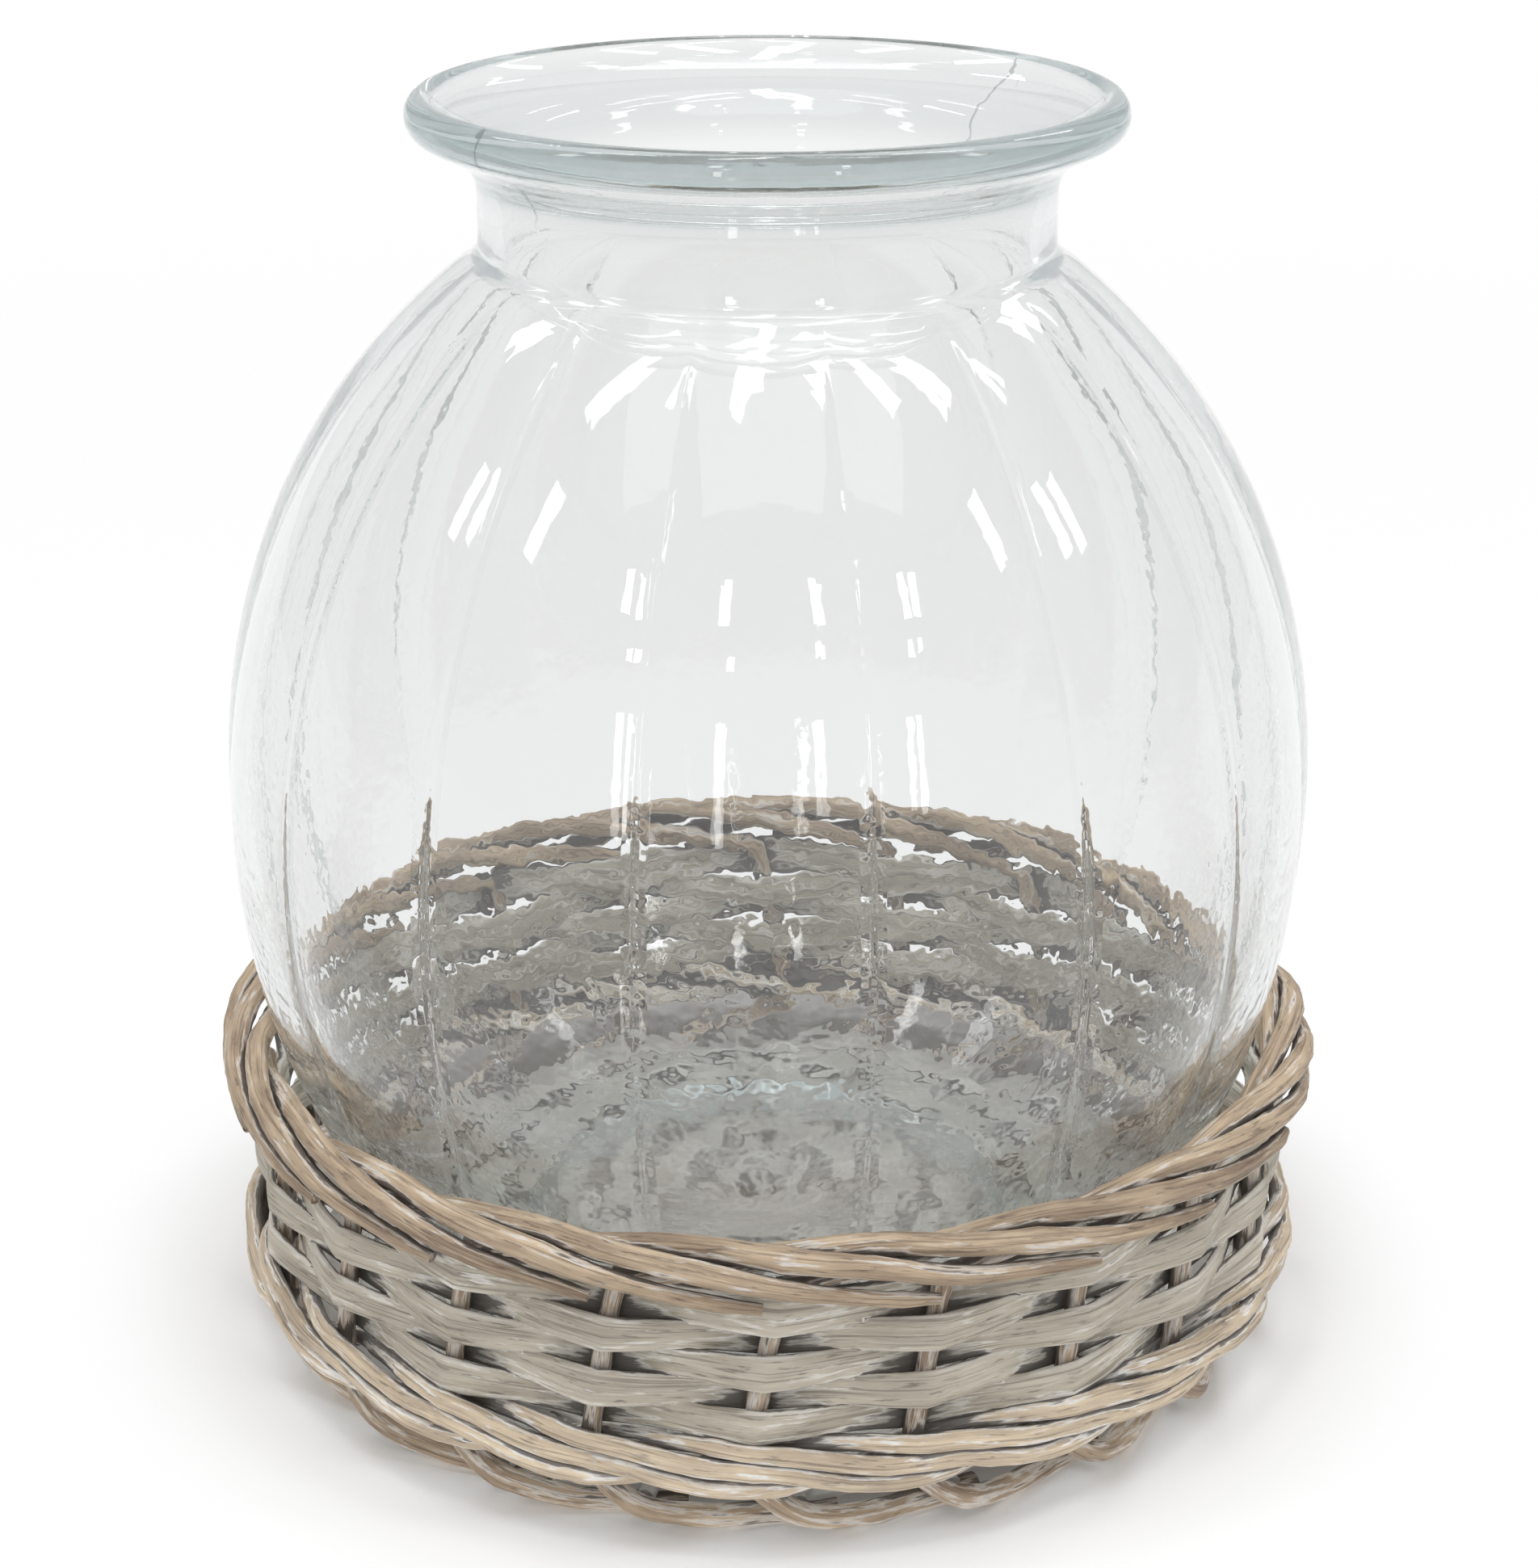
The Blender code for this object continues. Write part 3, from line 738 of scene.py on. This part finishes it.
border_willow = willow_material("border_willow", wood=(204, 182, 155), bark=(138, 119, 101),
                                wash=(218, 212, 205), dirt=(76, 65, 58), wash_amount=0.8,
                                dirt_amount=0.85, relief_depth=0.0012)
basket_pieces = []
for number in range(stake_count):
    chance = random.Random(100 + number)
    low = tail_width / 2 - foot_flat
    # Each key is a place to the side in stake spaces, out from the ring of stakes, and up
    keys = [
        (1.60, -2.00 * tail_width, low),
        (1.15, -1.70 * tail_width, low),
        (0.75, -0.90 * tail_width, low + 0.2 * (floor_middle - low)),
        (tail_lean, 0.0, floor_middle),
        (0.06, 0.0, wale_bottom),
        (0.0, 0.0, wale_bottom + 0.0036),
        (0.0, 0.0, wall_top - 0.2 * rod_lay),
    ]
    for side, out, up in ((0.12, 0.00, 0.46), (0.50, 0.00, 1.03), (1.00, 0.06, 1.73), (1.50, 0.45, 2.20),
                          (2.00, 0.98, 2.08), (2.50, 1.33, 1.73), (3.00, 1.46, 1.15), (3.50, 1.43, 0.62),
                          (3.90, 1.38, 0.25)):
        sway = chance.uniform(-border_sway, border_sway) if side > 0.3 else 0.0
        keys.append((side + sway * 0.5, (out + sway) * rod_lay, wall_top + (up + sway) * rod_lay))
    bent = bend_through(keys, 10)
    route = np.stack(in_basket(number + bent[:, 0], stake_ring + bent[:, 1], bent[:, 2]), axis=1)
    route = even_steps(route, rod_step)
    widths = []
    for i in range(len(route)):
        share = i / (len(route) - 1)
        thick = tail_width
        for start, change_length, change in width_changes:
            thick += change * ease((share - start) / change_length)
        widths.append(thick * (1.0 - cut_taper * ease((share - cut_start) / cut_length)))
    stake = lay_rod(f"border_rod_{number + 1:02d}", route, widths, chance)
    bpy.ops.object.mode_set(mode="EDIT")
    bpy.ops.mesh.select_all(action="SELECT")
    bpy.ops.mesh.bisect(plane_co=(0.0, 0.0, 0.0), plane_no=(0.0, 0.0, 1.0), use_fill=True, clear_inner=True)
    bpy.ops.object.mode_set(mode="OBJECT")
    stake.data.materials.append(border_willow)
    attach(stake, "basket")
    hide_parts(f"stake_{number + 1:02d}")
    basket_pieces.append(stake)


# Wale: four round rods round the bottom of the wall. Each goes before three stakes and behind
# the fourth, and lies above or below its neighbours in turn, like a rope.
wale_width = 0.0040
wale_rise = 0.0041
wale_swing = 0.0047
wale_wander = 0.05
wale_swell, swell_steps = 0.08, 9
wale_middle = (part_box("wale_rod_1")[0].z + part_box("wale_rod_1")[1].z) / 2
behind = [(-1.00, 0.00), (-0.50, 0.50), (0.05, 0.86), (0.62, 1.03)]
before = [(1.00, 1.00), (1.06, 0.88), (1.10, 0.50), (1.06, 0.12), (1.00, 0.00)]
turn_keys = behind + before + [(out, -up) for out, up in reversed(before[1:-1])] + [(1.00, -1.00)]
turn_keys += [(out, -up) for out, up in reversed(behind[1:])]
wale_willow = willow_material("wale_willow", wood=(230, 211, 183), bark=(180, 163, 144), wash=(240, 237, 233),
                              dirt=(84, 74, 69), wash_amount=0.95, dirt_amount=0.78, relief_depth=0.0011)
for number in range(4):
    chance = random.Random(200 + number)
    lap = turn_keys * (stake_count // 4)
    keys = []
    for i in range(len(lap) + 1):
        out, up = lap[(i + 4 * number) % len(lap)]
        wander = chance.uniform(-wale_wander, wale_wander)
        keys.append((i / 4 + stake_count / 2, (out + wander) * wale_swing, (up + wander) * wale_rise))
    keys[-1] = (keys[-1][0], *keys[0][1:])
    bent = bend_through(keys, 4)
    route = np.stack(in_basket(bent[:, 0], stake_ring + bent[:, 1], wale_middle + bent[:, 2]), axis=1)
    route = even_steps(route, rod_step)
    widths = [wale_width * (1 + wale_swell * math.sin(i / swell_steps + number)) for i in range(len(route))]
    rod = lay_rod(f"wale_weaver_{number + 1}", route, widths, chance, closed=True)
    rod.data.materials.append(wale_willow)
    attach(rod, "basket")
    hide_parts(f"wale_rod_{number + 1}")
    basket_pieces.append(rod)


# Wall strips: five flat split-willow strips, in front of one stake and behind the next, widest
# where they lie against a stake and squeezed together where they cross between stakes.
def over_and_under(side):
    """1 in front of even stakes and -1 in front of odd ones, with a crease at each stake."""
    rest = (side + 0.5) % 2.0 - 0.5
    slope = 1.0 - 2.0 * abs(rest) if rest < 1.0 else 1.0 - 2.0 * (2.0 - rest)
    return 0.8 * slope + 0.2 * math.cos(math.pi * side)


def lay_grain(strip, ring, chance, across):
    """Runs the grain round a strip of the given radius; across gives a corner's place across it."""
    grain = strip.data.uv_layers.new(name="UVMap")
    shift = chance.uniform(*grain_shifts)
    for face in strip.data.polygons:
        middle_angle = math.atan2(face.center.x, -face.center.y)
        for loop in face.loop_indices:
            place = strip.data.vertices[strip.data.loops[loop].vertex_index].co
            angle = math.atan2(place.x, -place.y)
            angle += 2 * math.pi * round((middle_angle - angle) / (2 * math.pi))
            grain.data[loop].uv = (angle * ring + shift, across(place))


def thicken(strip, thickness, edge_rounding):
    """Makes a flat strip solid, with rounded edges."""
    solid = strip.modifiers.new("thickness", "SOLIDIFY")
    solid.thickness = thickness
    solid.offset = 0.0
    rounding = strip.modifiers.new("rounding", "BEVEL")
    rounding.width = edge_rounding
    rounding.segments = 2
    rounding.limit_method = "ANGLE"
    bpy.ops.object.modifier_apply(modifier="thickness")
    bpy.ops.object.modifier_apply(modifier="rounding")
    bpy.ops.object.shade_smooth_by_angle(angle=math.radians(50))


strip_swing = 0.0037
strip_thickness = 0.0016
strip_rounding = 0.0005
top_strip_spread = 0.0022
hidden_drop = 0.0015
strip_width = 0.0067
front_spread = 0.0014
hidden_spread = 0.0012
strip_unevenness = 0.0007
strip_cupping = 0.00035
strip_waves = 30.0
strip_lean = 0.0005
strip_sag = 0.0004
grain_widening = 1.2
strip_steps = 16
strip_rows = 6
strip_willow = willow_material("strip_willow", wood=(203, 195, 179), bark=(164, 155, 140), wash=(230, 226, 219),
                               dirt=(78, 72, 68), wash_amount=0.75, dirt_amount=0.8, relief_depth=0.0008,
                               worn_width=0.0078)
for number in range(5):
    chance = random.Random(300 + number)
    low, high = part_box(f"wall_strip_{number + 1}")
    middle = (low.z + high.z) / 2
    height = high.z - low.z
    taller = top_strip_spread if number == 4 else 0.0
    bpy.ops.mesh.primitive_circle_add(vertices=stake_count * strip_steps, radius=stake_ring, calc_uvs=False,
                                      location=(0.0, 0.0, middle - height / 2))
    strip = bpy.context.object
    strip.name = f"split_strip_{number + 1}"
    bpy.ops.object.mode_set(mode="EDIT")
    bpy.ops.mesh.select_all(action="SELECT")
    for i in range(strip_rows):
        bpy.ops.mesh.extrude_region_move(TRANSFORM_OT_translate={"value": (0.0, 0.0, height / strip_rows)})
    bpy.ops.mesh.select_all(action="SELECT")
    bpy.ops.mesh.normals_make_consistent(inside=False)
    bpy.ops.object.mode_set(mode="OBJECT")
    bpy.ops.object.transform_apply(location=True, rotation=True, scale=True)
    lay_grain(strip, stake_ring, chance, lambda place: (place.z - middle) * grain_widening)
    for vertex in strip.data.vertices:
        x, y, z = vertex.co
        angle = math.atan2(x, -y)
        side = angle / stake_space
        up = (z - middle) / (height / 2)
        weave = over_and_under(side + number)
        hidden = max(0.0, -weave) ** 1.5
        wander = Vector((x, y, number * 0.3)) * strip_waves
        width = strip_width + taller + front_spread * abs(weave) ** 1.5 + hidden_spread * hidden
        width += strip_unevenness * noise.noise(wander)
        lean = strip_lean * noise.noise(wander * 1.4 + Vector((9.0, 0.0, 0.0)))
        out = strip_swing * weave + lean * up - strip_cupping * up * up * (1 if weave > 0 else -1)
        sag = strip_sag * noise.noise(wander * 0.8 + Vector((0.0, 9.0, 0.0))) - hidden_drop * hidden
        vertex.co = in_basket(side, stake_ring + out, middle + taller / 2 + sag + up * width / 2)
    thicken(strip, strip_thickness, strip_rounding)
    strip.data.materials.append(strip_willow)
    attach(strip, "basket")
    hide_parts(f"wall_strip_{number + 1}")
    basket_pieces.append(strip)


# Floor sticks: five rods laid across five others under the vase. Each fans out from the cross
# and ends against the tails of two stakes.
stick_width = 0.0037
stick_space = 0.0042
stick_lay = 0.00195
cross_reach = 0.0105
stick_reach = 0.1106
stick_step = 0.0030
stick_willow = willow_material("stick_willow", wood=(184, 179, 172), bark=(160, 155, 148), wash=(204, 201, 196),
                               dirt=(130, 126, 121), wash_amount=0.5, dirt_amount=0.5, relief_depth=0.0006)
for number in range(10):
    chance = random.Random(400 + number)
    layer, place = number // 5, number % 5 - 2
    offset = stick_lay * (1 - 2 * layer)
    fan = place * stake_space
    half = [(cross_reach * 0.4, place * stick_space, offset), (cross_reach, place * stick_space, offset),
            (fan_radius * math.cos(fan), fan_radius * math.sin(fan), 0.0),
            (stick_reach * 0.6 * math.cos(fan), stick_reach * 0.6 * math.sin(fan), 0.0),
            (stick_reach * math.cos(fan), stick_reach * math.sin(fan), 0.0)]
    bent = bend_through([(-x, y, z) for x, y, z in reversed(half)] + half, 8)
    side = np.arctan2(bent[:, 0], -bent[:, 1]) / stake_space + tail_lean + layer * stake_count / 4
    route = np.stack(in_basket(side, np.hypot(bent[:, 0], bent[:, 1]), floor_middle + bent[:, 2]), axis=1)
    route = even_steps(route, stick_step)
    stick = lay_rod(f"floor_rod_{number + 1:02d}", route, [stick_width] * len(route), chance)
    stick.data.materials.append(stick_willow)
    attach(stick, "basket")
    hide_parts(f"floor_stick_{number + 1:02d}")
    basket_pieces.append(stick)


# Floor strips: eight flat strips woven over and under the fanned sticks, lying flat. The vase
# stands on their crowns.
floor_strip_thickness = 0.0014
last_strip_spread = 0.0050
floor_strip_rows = 5
floor_strip_gap = 0.0003
floor_strip_rounding = 0.0004
floor_strip_fill, floor_strip_change = 0.94, 0.06
floor_strip_waves = 40.0
crest_share = 0.98
floor_willow = willow_material("floor_willow", wood=(184, 180, 173), bark=(158, 154, 147), wash=(208, 206, 202),
                               dirt=(128, 124, 119), wash_amount=0.6, dirt_amount=0.5, relief_depth=0.0006,
                               worn_width=0.0090)
for number in range(8):
    chance = random.Random(500 + number)
    low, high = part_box(f"floor_strip_{number + 1}")
    crest = (high.z - low.z - floor_strip_thickness) / 2
    outer = high.x
    inner_turn = max(number, 1)
    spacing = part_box(f"floor_strip_{inner_turn + 1}")[1].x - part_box(f"floor_strip_{inner_turn}")[1].x
    width = spacing - floor_strip_gap
    if number == 7:
        outer += last_strip_spread
        width += last_strip_spread
    bpy.ops.mesh.primitive_circle_add(vertices=stake_count * strip_steps, radius=outer - width, calc_uvs=False,
                                      location=(0.0, 0.0, floor_middle))
    strip = bpy.context.object
    strip.name = f"floor_weaver_{number + 1}"
    bpy.ops.object.mode_set(mode="EDIT")
    bpy.ops.mesh.select_all(action="SELECT")
    radius = outer - width
    for i in range(floor_strip_rows):
        wider = radius + width / floor_strip_rows
        bpy.ops.mesh.extrude_region_move(TRANSFORM_OT_translate={"value": (0.0, 0.0, 0.0)})
        bpy.ops.transform.resize(value=(wider / radius, wider / radius, 1.0),
                                 center_override=(0.0, 0.0, floor_middle))
        radius = wider
    bpy.ops.mesh.select_all(action="SELECT")
    bpy.ops.mesh.normals_make_consistent(inside=False)
    bpy.ops.object.mode_set(mode="OBJECT")
    bpy.ops.object.transform_apply(location=True, rotation=True, scale=True)
    centre_line = outer - width / 2
    lay_grain(strip, centre_line, chance, lambda place: math.hypot(place.x, place.y) - centre_line)
    for vertex in strip.data.vertices:
        x, y, z = vertex.co
        side = math.atan2(x, -y) / stake_space - tail_lean
        radius = math.hypot(x, y)
        across = (radius - centre_line) / (width / 2)
        uneven = noise.noise(Vector((x, y, number)) * floor_strip_waves)
        uneven = floor_strip_fill + floor_strip_change * uneven
        radius = centre_line + across * (width / 2) * uneven
        height = floor_middle + crest * over_and_under(side + number) * crest_share
        vertex.co = in_basket(side + tail_lean, radius, height)
    thicken(strip, floor_strip_thickness, floor_strip_rounding)
    strip.data.materials.append(floor_willow)
    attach(strip, "basket")
    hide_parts(f"floor_strip_{number + 1}")
    basket_pieces.append(strip)


# Shelter: how sheltered each point of the weave is, from 0 in the open to 1 deep between the
# rods, found by casting rays; the finish paints shade deep between the rods and keeps the white wash where it
# wasn't rubbed off. It is kept on every willow piece.
reach = 0.011
foot_shelter = 0.22
foot_shelter_height = 0.022
rubbed_stake = 0.27
inner_shelter = {"wale": 0.30, "split": 0.13}
ray_lift = 0.0004
facing_out = 0.2
floor_edge_shelter = 0.5
edge_start = 0.094
edge_width = 0.008
ray_count = 20
golden = math.pi * (3 - math.sqrt(5))
rays = []
for i in range(ray_count):
    up = 1 - 2 * (i + 0.5) / ray_count
    flat = math.sqrt(1 - up * up)
    rays.append(Vector((flat * math.cos(golden * i), flat * math.sin(golden * i), up)))
corners, faces = [], []
for piece in basket_pieces:
    start = len(corners)
    corners += [vertex.co.copy() for vertex in piece.data.vertices]
    faces += [tuple(start + i for i in face.vertices) for face in piece.data.polygons]
weave_tree = BVHTree.FromPolygons(corners, faces)
for piece in basket_pieces:
    found = np.zeros(len(piece.data.vertices), np.float32)
    for i, vertex in enumerate(piece.data.vertices):
        normal = vertex.normal
        start = vertex.co + normal * ray_lift
        hidden = total = 0.0
        for ray in rays:
            facing = normal.dot(ray)
            direction = ray if facing > 0 else -ray
            weight = abs(facing)
            total += weight
            distance = weave_tree.ray_cast(start, direction, reach)[3]
            if distance is not None:
                hidden += weight * (1 - 0.5 * distance / reach)
        found[i] = hidden / total
        outward = (normal.x * vertex.co.x + normal.y * vertex.co.y) / vertex.co.xy.length
        in_wall = wall_bottom < vertex.co.z < wall_top
        if piece.name.startswith("border_rod") and in_wall and outward > facing_out:
            found[i] = rubbed_stake
        # Darker towards the bottom: the shelter grows near the floor, giving more wash and then the dark brown.
        found[i] += foot_shelter * max(0.0, 1 - vertex.co.z / foot_shelter_height)
        # Faces turned in towards the middle of the basket get more shelter, so they are darker.
        found[i] += inner_shelter.get(piece.name.split("_")[0], 0.0) * max(0.0, -outward)
        # Floor pieces get darker towards their outer edge, by the wall.
        if piece.name.startswith("floor_"):
            found[i] += floor_edge_shelter * ease((vertex.co.xy.length - edge_start) / edge_width)
    kept = piece.data.attributes.new("shelter", "FLOAT", "POINT")
    kept.data.foreach_set("value", found)
